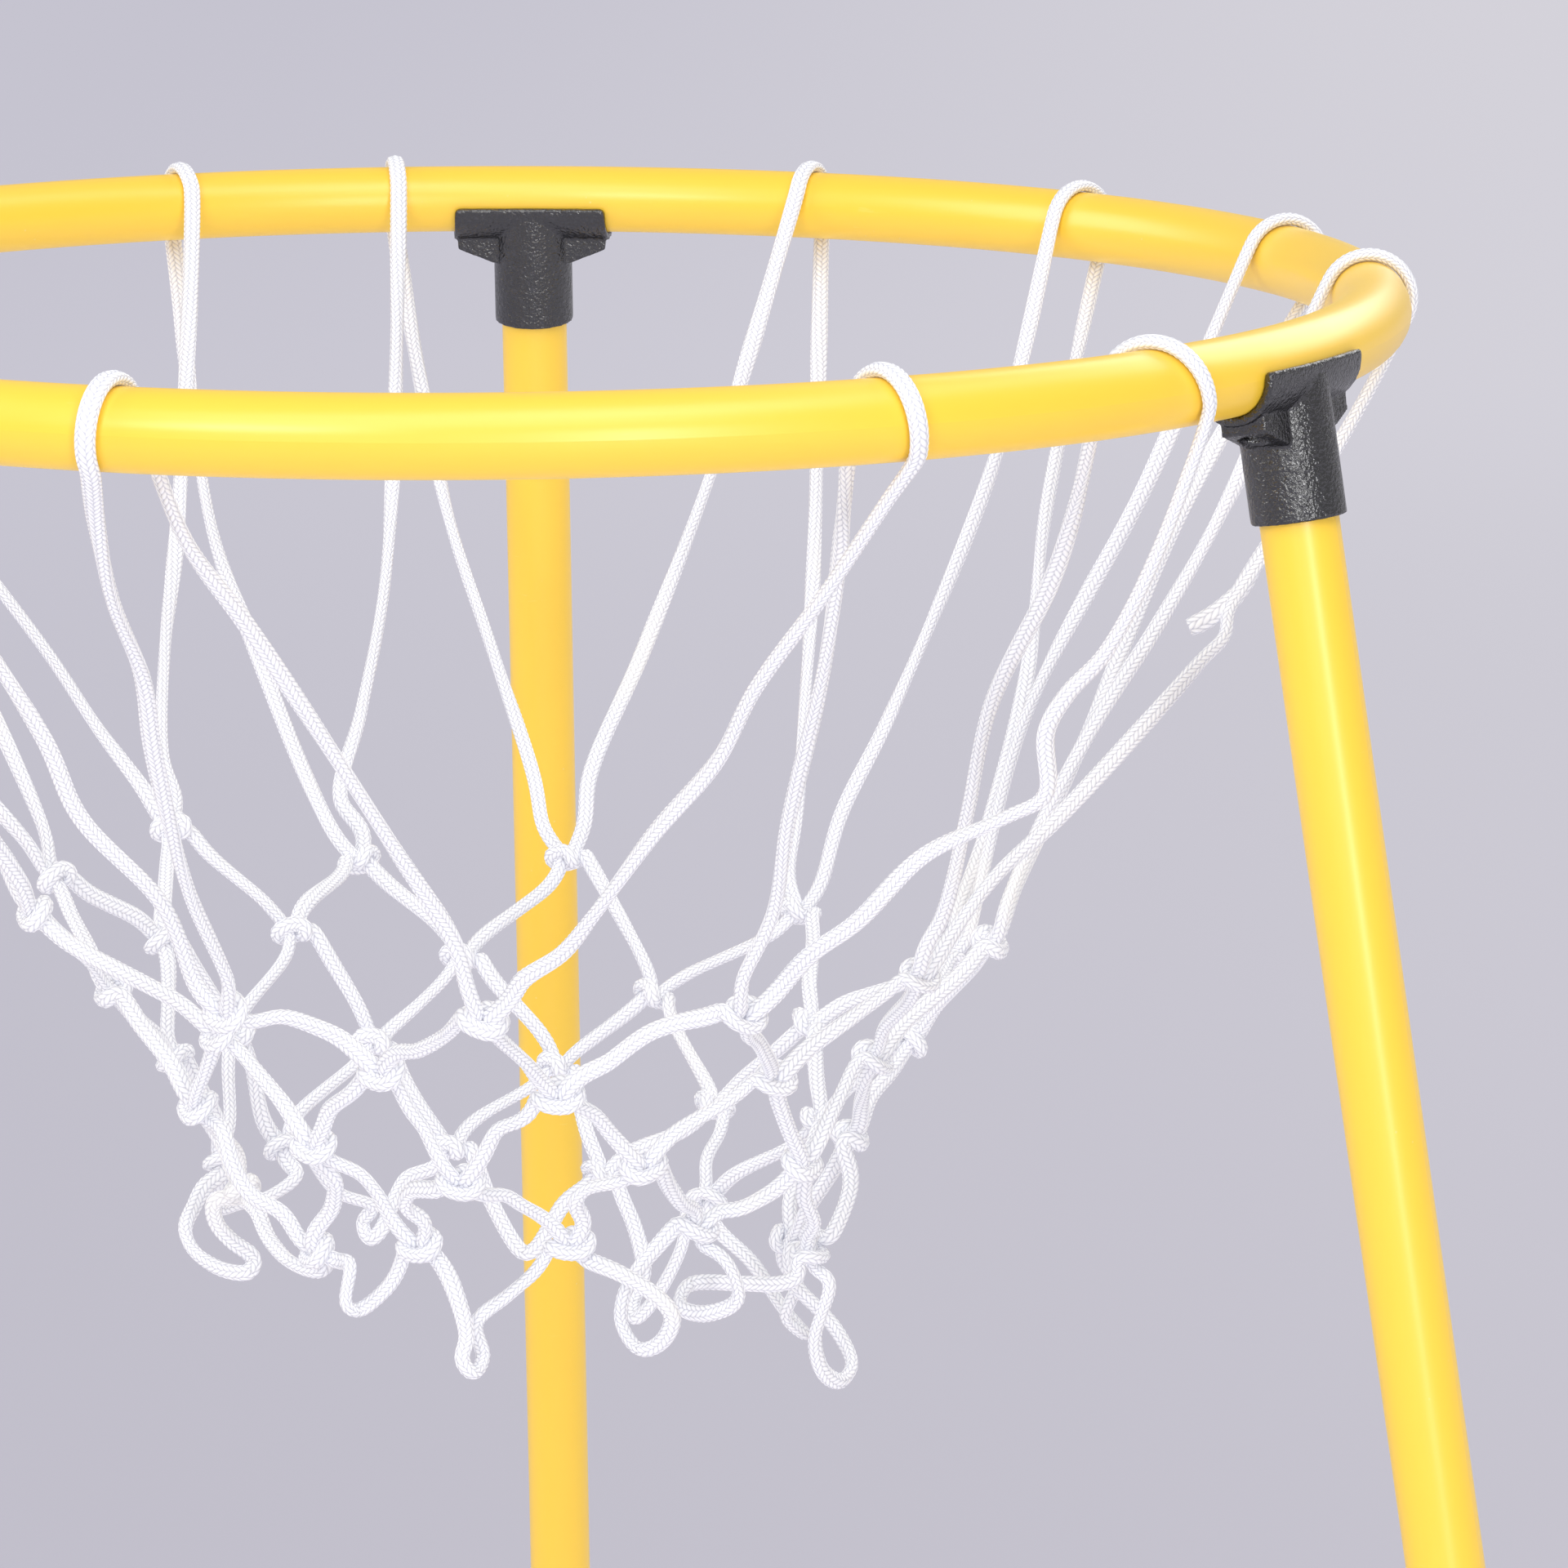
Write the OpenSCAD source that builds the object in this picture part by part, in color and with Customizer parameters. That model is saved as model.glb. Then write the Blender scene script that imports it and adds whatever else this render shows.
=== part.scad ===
// Free-standing hoop goal: a tube hoop on three plug-in legs, with a knotted cord net.
// Origin on the floor under the centre of the hoop, +Z up, the back leg towards +Y.

/* [Hoop] */
// Outer diameter of the hoop
hoop_d = 500; // [440:10:600]
// Outer diameter of the hoop's tube and of the legs' tube
tube_d = 20; // [18:0.5:24]
// Wall of the hoop's tube
hoop_wall = 1.8; // [1.2:0.1:3]
// Gap left where the two ends of the hoop's tube meet
seam_gap = 0.4; // [0.2:0.1:1]
// Azimuth of that seam, in degrees
seam_at = 174; // [165:1:185]
// Length of the plug inside the tube that joins its two ends
splice_len = 70; // [40:5:100]
// Wall of the splice plug
splice_wall = 1.6; // [1:0.1:2.5]

/* [Legs] */
// Length of each leg's tube
leg_len = 700; // [500:10:1000]
// Wall of each leg's tube
leg_wall = 1.8; // [1.2:0.1:3]
// Lean of the legs away from upright, in degrees
leg_tilt = 10; // [6:0.5:14]

/* [Connectors] */
// Length of the half-round saddle along the hoop
saddle_len = 48; // [44:1:60]
// Wall of the saddle
saddle_wall = 2.2; // [1.6:0.1:3]
// Wall of the leg socket
socket_wall = 2; // [1.6:0.1:3]
// Length of the leg inside its socket
socket_depth = 25; // [18:1:40]
// Thickness of the stop between the saddle and the end of the leg
stop_t = 1.2; // [0.8:0.1:3]
// Width of the gussets under the saddle, across the hoop
gusset_w = 12.5; // [11:0.5:14]
// Depth of a gusset under the saddle at its outer end
gusset_end = 2.2; // [2:0.1:3.5]
// Depth of a gusset under the saddle where it meets the socket
gusset_root = 6.5; // [5:0.5:9]
// Diameter of the screws' shanks
screw_d = 3; // [2.5:0.1:3.5]
// Diameter of the screws' heads
screw_head_d = 6.2; // [5.6:0.1:6.6]
// Length of a screw under its head
screw_len = 8; // [7:0.5:10]

/* [Feet] */
// Depth of a foot cap's bore
foot_depth = 24; // [15:1:40]
// Wall of a foot cap
foot_wall = 2; // [1.5:0.1:3]
// Rubber under the middle of the leg's end
foot_floor = 4; // [4:0.5:8]

/* [Net] */
// Diameter of the net's cord
cord_d = 5; // [4:0.2:5.6]
// Turn of the knot rows about the hoop's axis, in degrees
net_turn = -3; // [-5:1:0]
// Width of a knot
knot_w = 13; // [12:0.5:15]
// Thickness of a knot
knot_t = 10; // [8:0.5:12]
// Height of a knot
knot_h = 13; // [10:0.5:15]

/* [Clearances] */
// Radial clearance of a leg in its socket
leg_fit = 0.05; // [0.02:0.01:0.1]
// Radial clearance of the saddle on the hoop's tube
saddle_fit = 0.12; // [0.05:0.01:0.3]
// Radial clearance of the splice plug in the hoop's tube
splice_fit = 0.05; // [0.02:0.01:0.1]
// Radial clearance of a foot cap on its leg
foot_fit = 0.05; // [0.02:0.01:0.1]
// Radial clearance of a screw in its holes
screw_fit = 0.05; // [0.02:0.01:0.15]
// Gap between the net's cord and the hoop, and between two cords in one knot
cord_gap = 0.3; // [0.3:0.1:0.6]

/* [Hidden] */
$fn = 96;

// Azimuths of the legs and of the loops, which slide along the hoop and hang unevenly
leg_at = [90, 210, 330];
loop_at = [-108, -61, -42, 2, 22, 46, 69, 100, 116, 154, 194, 229];

// Distance from the hoop's axis and depth below the hoop of each row of knots
row_r = [131, 106, 94, 80];
row_z = [173, 198, 224, 252];
// How far aside the net hangs, and how much deeper per millimetre towards azimuth net_low,
// because its loops are spread unevenly
net_shift = [9, 2, 0];
net_lean = 0.15;
net_low = 45;
// The open loops at the net's bottom: distance from the axis, depth of their lowest points,
// and how far aside (degrees) and up (mm) the cord has gone at the next points
tail_r = 74;
tail_z = 284;
tail_turn = [0, 5, 9];
tail_rise = [0, 2, 11];

// Hoop
tube_r = tube_d / 2;
ring_r = hoop_d / 2 - tube_r;

// Connector, measured along the leg's axis down from the centre of the hoop's tube
saddle_in = tube_r + saddle_fit;
saddle_out = saddle_in + saddle_wall;
saddle_half = asin(saddle_len / 2 / ring_r);
stop_at = saddle_out + stop_t;
socket_end = stop_at + socket_depth;
socket_in = tube_r + leg_fit;
socket_out = socket_in + socket_wall;
gusset_inset = 1.3;
gusset_half = saddle_len / 2 - gusset_inset;
rim_corner = 1.6;

// Screws: their place along the hoop, and the seat of their heads
screw_from_end = 6;
screw_turn = asin((gusset_half - screw_from_end) / ring_r);
screw_seat = saddle_out + 0.1;
screw_well_r = screw_head_d / 2 + 0.3;
screw_head_t = 1.9;
screw_tip = screw_seat - screw_len;
screw_point = 2;
slot_w = 0.9;
slot_t = 1.1;

// Legs and feet, with the hoop's height worked out from them
leg_end = stop_at + leg_len;
hoop_h = (leg_end + foot_floor) * cos(leg_tilt);
foot_reach = ring_r + (leg_end + foot_floor) * sin(leg_tilt);
foot_in = tube_r + foot_fit;
foot_out = foot_in + foot_wall;
foot_flare = 1.2;

// Net
cord_r = cord_d / 2;
cord_corner = cord_r / cos(30);
net_n = len(loop_at);
pitch = 360 / net_n;
net_start = -105;
wrap_steps = 8;

// A point at distance r from the hoop's axis, azimuth a, depth d below the hoop's centreline
function at(r, a, d) = [r * cos(a), r * sin(a), hoop_h - d];
// The same point on the leaning net
function net_at(r, a, d) = at(r, a, d + net_lean * r * cos(a - net_low)) + net_shift;
function unit(v) = v / norm(v);

// Moves a shape from the tube's own frame to azimuth a, with -Z along the leg
module on_hoop(a, lean = leg_tilt) {
    translate([0, 0, hoop_h])
        rotate([0, 0, a])
            translate([ring_r, 0, 0])
                rotate([0, -lean, 0])
                    children();
}

// A round ring segment about the hoop's centreline, from azimuth a0 over the angle da;
// solid when no inner radius is given
module ring_piece(a0, da, r_out, r_in = 0) {
    translate([0, 0, hoop_h])
        rotate([0, 0, a0])
            rotate_extrude(angle = da)
                translate([ring_r, 0])
                    difference() {
                        circle(r_out);
                        if (r_in > 0) circle(r_in);
                    }
}

// The two screw axes of every connector
module at_screws() {
    for (a = leg_at, side = [-1, 1])
        on_hoop(a + side * screw_turn)
            children();
}

module hoop_tube() {
    seam_half = asin(seam_gap / 2 / ring_r);
    color("gold")
        difference() {
            ring_piece(seam_at + seam_half, 360 - 2 * seam_half, tube_r, tube_r - hoop_wall);
            at_screws()
                translate([0, 0, -tube_r - 1])
                    cylinder(r = screw_d / 2 + screw_fit, h = hoop_wall + 3, $fn = 32);
        }
}

// Plug that joins the two ends of the hoop's tube
module hoop_splice() {
    half = asin(splice_len / 2 / ring_r);
    plug_r = tube_r - hoop_wall - splice_fit;
    color("dimgray")
        ring_piece(seam_at - half, 2 * half, plug_r, plug_r - splice_wall);
}

// Half-round shell that holds the underside of the hoop, with its rim square to the leg
module saddle() {
    translate([0, 0, hoop_h])
        rotate([0, 0, -saddle_half])
            rotate_extrude(angle = 2 * saddle_half)
                translate([ring_r, 0])
                    rotate(leg_tilt)
                        difference() {
                            circle(saddle_out);
                            circle(saddle_in);
                            translate([-saddle_out - 1, 0])
                                square([2 * saddle_out + 2, saddle_out + 1]);
                        }
}

// Rounds the four corners of the saddle's rim
module rim_corner_cuts() {
    for (end = [-1, 1])
        on_hoop(end * saddle_half)
            translate([0, -end * rim_corner, -rim_corner])
                difference() {
                    translate([-saddle_out - 2, end > 0 ? 0 : -rim_corner - 1, 0])
                        cube([2 * saddle_out + 4, rim_corner + 1, rim_corner + 1]);
                    translate([-saddle_out - 3, 0, 0])
                        rotate([0, 90, 0])
                            cylinder(r = rim_corner, h = 2 * saddle_out + 6, $fn = 32);
                }
}

// Gussets on both sides of the socket, cut from one plate with a slanted underside
module gussets() {
    top = saddle_in * 0.8;
    end_z = saddle_out + gusset_end;
    root_z = saddle_out + gusset_root;
    translate([-gusset_w / 2, 0, 0])
        rotate([90, 0, 90])
            linear_extrude(gusset_w)
                polygon([
                    [-gusset_half, -top], [gusset_half, -top], [gusset_half, -end_z],
                    [socket_out, -root_z], [-socket_out, -root_z], [-gusset_half, -end_z]
                ]);
}

module connector(a) {
    color("dimgray")
        difference() {
            union() {
                rotate([0, 0, a])
                    difference() {
                        saddle();
                        rim_corner_cuts();
                    }
                difference() {
                    on_hoop(a) {
                        translate([0, 0, -socket_end])
                            cylinder(r = socket_out, h = socket_end - saddle_in * 0.3);
                        gussets();
                    }
                    rotate([0, 0, a])
                        ring_piece(-2 * saddle_half, 4 * saddle_half, saddle_in + saddle_wall / 2);
                }
            }
            on_hoop(a)
                translate([0, 0, -socket_end - 1])
                    cylinder(r = socket_in, h = socket_depth + 1);
            for (side = [-1, 1])
                on_hoop(a + side * screw_turn) {
                    translate([0, 0, -saddle_out - gusset_root])
                        cylinder(r = screw_well_r, h = gusset_root - 0.1, $fn = 48);
                    translate([0, 0, -saddle_out - 1])
                        cylinder(r = screw_d / 2 + screw_fit, h = saddle_out, $fn = 32);
                }
        }
}

// One self-tapping screw, pointing up into the hoop's tube, with a cross in its head
module screw() {
    difference() {
        rotate_extrude($fn = 48)
            polygon([
                [0, -screw_seat - screw_head_t], [screw_head_d * 0.3, -screw_seat - screw_head_t],
                [screw_head_d / 2, -screw_seat - screw_head_t * 0.45], [screw_head_d / 2, -screw_seat],
                [screw_d / 2, -screw_seat], [screw_d / 2, -screw_tip - screw_point], [0, -screw_tip]
            ]);
        for (turn = [0, 90])
            rotate([0, 0, turn])
                translate([-screw_head_d * 0.27, -slot_w / 2, -screw_seat - screw_head_t - 1])
                    cube([screw_head_d * 0.54, slot_w, slot_t + 1]);
    }
}

module connector_screws() {
    color("tan")
        at_screws()
            screw();
}

module leg(a) {
    color("gold")
        on_hoop(a)
            translate([0, 0, -leg_end])
                difference() {
                    cylinder(r = tube_r, h = leg_len);
                    translate([0, 0, -1])
                        cylinder(r = tube_r - leg_wall, h = leg_len + 2);
                }
}

// Rubber cap on the leg's lower end, cut flat where it stands on the floor
module foot(a) {
    low = foot_floor + (foot_out + foot_flare) * tan(leg_tilt) + 1;
    color("dimgray")
        difference() {
            on_hoop(a)
                translate([0, 0, -leg_end])
                    rotate_extrude()
                        polygon([
                            [0, -low], [foot_out + foot_flare, -low], [foot_out + foot_flare, 2],
                            [foot_out + foot_flare / 3, 4], [foot_out, foot_depth - 0.8],
                            [foot_out - 0.8, foot_depth], [foot_in, foot_depth], [foot_in, 0], [0, 0]
                        ]);
            rotate([0, 0, a])
                translate([foot_reach - 50, -50, -30])
                    cube([100, 100, 30]);
        }
}

// Faces of a closed skin over rings of points, each ring with the same number of sides
function skin_faces(rings, sides) = concat(
    [[for (k = [0 : sides - 1]) k]],
    [
        for (i = [0 : rings - 2], k = [0 : sides - 1])
            let (n = (k + 1) % sides)
                [i * sides + k, (i + 1) * sides + k, (i + 1) * sides + n]
    ],
    [
        for (i = [0 : rings - 2], k = [0 : sides - 1])
            let (n = (k + 1) % sides)
                [i * sides + k, (i + 1) * sides + n, i * sides + n]
    ],
    [[for (k = [sides - 1 : -1 : 0]) (rings - 1) * sides + k]]
);

// A six-sided tube through rings of [centre, outward direction, half thickness, half width];
// t0 and t1 are the directions in which it starts and ends
module cord_tube(path, t0, t1) {
    sides = 6;
    last = len(path) - 1;
    points = [
        for (i = [0 : last])
            let (t = i == 0 ? t0 : i == last ? t1 : unit(path[i + 1][0] - path[i - 1][0]))
                let (u = unit(path[i][1] - (path[i][1] * t) * t))
                    let (v = cross(t, u))
                        for (k = [0 : sides - 1])
                            path[i][0]
                                + path[i][2] * cos(60 * k) * u
                                + path[i][3] * sin(60 * k) / sin(60) * v
    ];
    polyhedron(points, skin_faces(last + 1, sides));
}

// Outward direction of the funnel that the net hangs on, and the direction along a row
function out(a) = [cos(a), sin(a), -0.5];
function along(a) = [-sin(a), cos(a), 0];

// A plain ring of cord
function cord_ring(centre, outward) = [centre, outward, cord_corner, cord_r];

// The cord's way up through its half of a knot in row k at azimuth a: it swells and narrows again
function knot_half(k, a, side, facing) = [
    for (lift = [-0.5, -0.25, 0.25, 0.5])
        let (
            full = abs(lift) < 0.5,
            step = full ? (knot_w + cord_gap) / 4 : cord_r + cord_gap / 2,
            centre = net_at(row_r[k], a, row_z[k] - lift * knot_h) + side * step * along(a)
        )
            full
                ? [centre, facing * out(a), knot_t / 2, (knot_w - cord_gap) / 4]
                : cord_ring(centre, facing * out(a))
];

// One side of a net cord, from the middle of a bottom loop up to the first row of knots.
// Its own knots are at azimuth c, those that it shares at b, on the given side of c
function strand(c, b, side, facing) = concat(
    [
        for (i = [0 : len(tail_turn) - 1])
            cord_ring(net_at(tail_r, b - side * tail_turn[i], tail_z - tail_rise[i]), facing * out(b))
    ],
    [for (k = [3 : -1 : 0]) each knot_half(k, k % 2 == 0 ? b : c, k % 2 == 0 ? -side : side, facing)]
);

// The turn over the hoop at azimuth a, from the outside to the inside
function hoop_turn(a) =
    let (
        wrap_r = (tube_r + cord_corner + cord_gap) / cos(90 / wrap_steps),
        reach = [row_r[0] * cos(pitch / 2) - ring_r, -row_z[0]],
        mid = atan2(reach[1], reach[0]),
        spread = acos(wrap_r / norm(reach)),
        from = mid + spread,
        to = mid - spread + 360
    )
        [
            for (i = [0 : wrap_steps])
                let (t = from + (to - from) * i / wrap_steps)
                    cord_ring(
                        at(ring_r + wrap_r * cos(t), a, -wrap_r * sin(t)),
                        [cos(t) * cos(a), cos(t) * sin(a), sin(t)]
                    )
        ];

// The stretch of cord that hangs from one loop over the hoop, with its halves of the knots
module net_cord(j) {
    c = net_start + net_turn + pitch * j;
    first = c - pitch / 2;
    second = c + pitch / 2;
    down = strand(c, second, 1, -1);
    color("white")
        cord_tube(
            concat(
                strand(c, first, -1, 1),
                hoop_turn(loop_at[j]),
                [for (i = [len(down) - 1 : -1 : 0]) down[i]]
            ),
            along(first),
            along(second)
        );
}

hoop_tube();
hoop_splice();
connector_screws();
connector(leg_at[0]);  // connector_back
connector(leg_at[1]);  // connector_front_left
connector(leg_at[2]);  // connector_front_right
leg(leg_at[0]);  // leg_back
leg(leg_at[1]);  // leg_front_left
leg(leg_at[2]);  // leg_front_right
foot(leg_at[0]);  // foot_back
foot(leg_at[1]);  // foot_front_left
foot(leg_at[2]);  // foot_front_right
for (j = [0 : net_n - 1])
    net_cord(j);
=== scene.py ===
import math

import bpy
import numpy as np
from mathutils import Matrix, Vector
from mathutils.kdtree import KDTree


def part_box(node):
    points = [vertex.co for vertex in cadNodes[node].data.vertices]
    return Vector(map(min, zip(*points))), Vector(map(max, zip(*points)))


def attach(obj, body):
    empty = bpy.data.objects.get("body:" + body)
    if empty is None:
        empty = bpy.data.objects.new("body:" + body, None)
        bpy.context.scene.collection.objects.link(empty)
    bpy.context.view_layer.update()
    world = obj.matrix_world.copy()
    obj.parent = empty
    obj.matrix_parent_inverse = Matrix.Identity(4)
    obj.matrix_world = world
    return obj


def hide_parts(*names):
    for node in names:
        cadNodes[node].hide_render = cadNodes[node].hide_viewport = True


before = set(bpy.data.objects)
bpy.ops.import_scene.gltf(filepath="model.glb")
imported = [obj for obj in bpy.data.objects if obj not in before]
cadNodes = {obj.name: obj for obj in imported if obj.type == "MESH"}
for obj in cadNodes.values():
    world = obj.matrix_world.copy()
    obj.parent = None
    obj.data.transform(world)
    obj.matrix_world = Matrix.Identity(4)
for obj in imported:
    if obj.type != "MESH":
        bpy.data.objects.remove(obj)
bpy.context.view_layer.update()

hoopLow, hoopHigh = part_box("hoop_tube")
tubeRadius = (hoopHigh.z - hoopLow.z) / 2
hoopHeight = (hoopHigh.z + hoopLow.z) / 2
ringRadius = (hoopHigh.y - hoopLow.y) / 2 - tubeRadius
print("frame loaded: hoop at height", round(hoopHeight, 4), "ring radius", round(ringRadius, 4))


# Node helpers

def addNode(tree, kind, **settings):
    node = tree.nodes.new(kind)
    for key, value in settings.items():
        setattr(node, key, value)
    return node


def plug(tree, value, socket):
    # value is another node's output, or a plain number or colour
    if isinstance(value, bpy.types.NodeSocket):
        tree.links.new(value, socket)
    else:
        socket.default_value = value


def calc(tree, operation, first, second=0.0, third=0.0):
    node = addNode(tree, "ShaderNodeMath", operation=operation)
    for value, socket in zip((first, second, third), node.inputs):
        plug(tree, value, socket)
    return node.outputs[0]


def remap(tree, value, low, high, newLow=0.0, newHigh=1.0):
    node = addNode(tree, "ShaderNodeMapRange", interpolation_type="SMOOTHSTEP")
    for name, number in zip(("From Min", "From Max", "To Min", "To Max"), (low, high, newLow, newHigh)):
        node.inputs[name].default_value = number
    plug(tree, value, node.inputs["Value"])
    return node.outputs["Result"]


def noise(tree, vector, scale, detail=2.0, roughness=0.5):
    node = addNode(tree, "ShaderNodeTexNoise")
    node.inputs["Scale"].default_value = scale
    node.inputs["Detail"].default_value = detail
    node.inputs["Roughness"].default_value = roughness
    plug(tree, vector, node.inputs["Vector"])
    return node.outputs["Fac"]


def mixColour(tree, share, first, second):
    node = addNode(tree, "ShaderNodeMix", data_type="RGBA")
    plug(tree, share, node.inputs["Factor"])
    plug(tree, first, node.inputs["A"])
    plug(tree, second, node.inputs["B"])
    return node.outputs["Result"]


def objectPoint(tree):
    return addNode(tree, "ShaderNodeTexCoord").outputs["Object"]


def bumpNormal(tree, height, strength, distance):
    node = addNode(tree, "ShaderNodeBump")
    node.inputs["Strength"].default_value = strength
    node.inputs["Distance"].default_value = distance
    plug(tree, height, node.inputs["Height"])
    return node.outputs["Normal"]


def newMaterial(name, settings):
    material = bpy.data.materials.new(name)
    material.use_nodes = True
    shader = material.node_tree.nodes["Principled BSDF"]
    for socket, value in settings.items():
        shader.inputs[socket].default_value = value
    return material, material.node_tree, shader


def newGroup(name, inputs, outputs):
    group = bpy.data.node_groups.new(name, "ShaderNodeTree")
    for direction, sockets in (("INPUT", inputs), ("OUTPUT", outputs)):
        for socketName, kind in sockets:
            group.interface.new_socket(socketName, in_out=direction, socket_type="NodeSocket" + kind)
    start = group.nodes.new("NodeGroupInput")
    end = group.nodes.new("NodeGroupOutput")
    return group, start.outputs, end.inputs


def useGroup(tree, group, **values):
    node = addNode(tree, "ShaderNodeGroup", node_tree=group)
    for name, value in values.items():
        plug(tree, value, node.inputs[name])
    return node.outputs


# Shared effects

wearPattern = {
    "scuffStretch": (30, 34, 210),     # long thin marks, out of line with the tubes
    "scuffTurn": (0.5, 0.9, 0.3),
    "scuffScale": 4.0,
    "scuffPlaces": 14.0,               # scale of the spots where scuffs gather
    "patchScale": 9.0,
    "dustScale": 260.0,
    "dustPlaces": 55.0,
}


def makeSurfaceWear():
    # short scuffs, rubbed patches and settled dust on plastic that has been carried about
    group, given, wanted = newGroup(
        "surfaceWear",
        [("Vector", "Vector"), ("Scuff Amount", "Float"), ("Dust Amount", "Float")],
        [("Scuffs", "Float"), ("Patches", "Float"), ("Dust", "Float")])
    stretched = addNode(group, "ShaderNodeMapping")
    stretched.inputs["Scale"].default_value = wearPattern["scuffStretch"]
    stretched.inputs["Rotation"].default_value = wearPattern["scuffTurn"]
    group.links.new(given["Vector"], stretched.inputs["Vector"])
    marks = noise(group, stretched.outputs["Vector"], wearPattern["scuffScale"], 3.0, 0.6)
    where = noise(group, given["Vector"], wearPattern["scuffPlaces"], 2.0)
    scuffs = calc(group, "MULTIPLY", remap(group, marks, 0.66, 0.74), remap(group, where, 0.54, 0.66))
    plug(group, calc(group, "MULTIPLY", scuffs, given["Scuff Amount"]), wanted["Scuffs"])
    patches = noise(group, given["Vector"], wearPattern["patchScale"], 4.0)
    plug(group, remap(group, patches, 0.35, 0.7), wanted["Patches"])
    specks = addNode(group, "ShaderNodeTexVoronoi", feature="F1")
    specks.inputs["Scale"].default_value = wearPattern["dustScale"]
    group.links.new(given["Vector"], specks.inputs["Vector"])
    grain = remap(group, specks.outputs["Distance"], 0.11, 0.04)
    settled = noise(group, given["Vector"], wearPattern["dustPlaces"])
    grain = calc(group, "MULTIPLY", grain, remap(group, settled, 0.56, 0.68))
    plug(group, calc(group, "MULTIPLY", grain, given["Dust Amount"]), wanted["Dust"])
    return group


grainPattern = {"fine": 1300.0, "coarse": 700.0, "glints": 900.0}     # scales of its three noises


def makeMouldGrain():
    # the spark-eroded skin of moulded plastic and rubber: fine pits with a few coarser ones
    group, given, wanted = newGroup(
        "mouldGrain",
        [("Vector", "Vector"), ("Coarse", "Float")],
        [("Height", "Float"), ("Glints", "Float")])
    fine = noise(group, given["Vector"], grainPattern["fine"], 1.0, 0.6)
    coarse = noise(group, given["Vector"], grainPattern["coarse"], 1.0, 0.5)
    height = calc(group, "MULTIPLY_ADD", coarse, given["Coarse"], fine)
    plug(group, height, wanted["Height"])
    glints = noise(group, given["Vector"], grainPattern["glints"], 2.0)
    plug(group, remap(group, glints, 0.55, 0.70), wanted["Glints"])
    return group


braidPattern = {
    "columns": 8,          # stitches side by side round the cord
    "across": 0.7,         # below 1, a stitch is wider than it is long
    "yarnLines": 30.0,
}


def makeBraid():
    # slanted stitches, a column of each slant in turn
    # x of the vector runs once round the cord, y along it in mm
    group, given, wanted = newGroup(
        "braid", [("Vector", "Vector"), ("Pitch", "Float"), ("Slant", "Float")],
        [("Stitch", "Float"), ("Height", "Float"), ("Yarn", "Float")])
    split = addNode(group, "ShaderNodeSeparateXYZ")
    group.links.new(given["Vector"], split.inputs[0])
    around = calc(group, "MULTIPLY_ADD", split.outputs["X"], float(braidPattern["columns"]), 0.5)
    column = calc(group, "FLOOR", around)
    odd = calc(group, "MODULO", column, 2.0)
    x = calc(group, "SUBTRACT", calc(group, "SUBTRACT", around, column), 0.5)
    turn = calc(group, "MULTIPLY_ADD", odd, -2.0, 1.0)
    lean = calc(group, "MULTIPLY", calc(group, "MULTIPLY", x, turn), given["Slant"])
    along = calc(group, "ADD", calc(group, "DIVIDE", split.outputs["Y"], given["Pitch"]),
                 calc(group, "MULTIPLY_ADD", odd, 0.5, lean))
    y = calc(group, "SUBTRACT", calc(group, "FRACT", along), 0.5)
    acrossReach = calc(group, "MULTIPLY", calc(group, "MULTIPLY", x, x), braidPattern["across"])
    reach = calc(group, "ADD", acrossReach, calc(group, "MULTIPLY", y, y))
    plug(group, remap(group, reach, 0.34, 0.06), wanted["Stitch"])
    plug(group, remap(group, reach, 0.36, -0.05), wanted["Height"])
    lines = calc(group, "SINE", calc(group, "MULTIPLY", y, braidPattern["yarnLines"]))
    plug(group, calc(group, "MULTIPLY_ADD", lines, 0.5, 0.5), wanted["Yarn"])
    return group


surfaceWear = makeSurfaceWear()
mouldGrain = makeMouldGrain()
braid = makeBraid()


# Materials

tubeFinish = {
    "yellow": (1.0, 0.640, 0.042, 1),
    "deepYellow": (1.0, 0.615, 0.035, 1),
    "rubbed": (1.0, 0.76, 0.20, 1),
    "dust": (0.95, 0.90, 0.75, 1),
    "roughness": 0.36,
    "patchRoughness": 0.05,
    "scuffRoughness": 0.25,
    "specular": 0.8,
    "gloss": 0.35,         # share of the smooth outer skin
    "glossRoughness": 0.27,
    "scuffAmount": 0.22,
    "dustAmount": 0.2,
    "blotchScale": 6.0,
    "peel": 0.06,          # strength of the faint unevenness of drawn tube
    "peelDepth": 0.0002,
    "peelScale": 300.0,
    "scuffHeight": -0.6,
}


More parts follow.
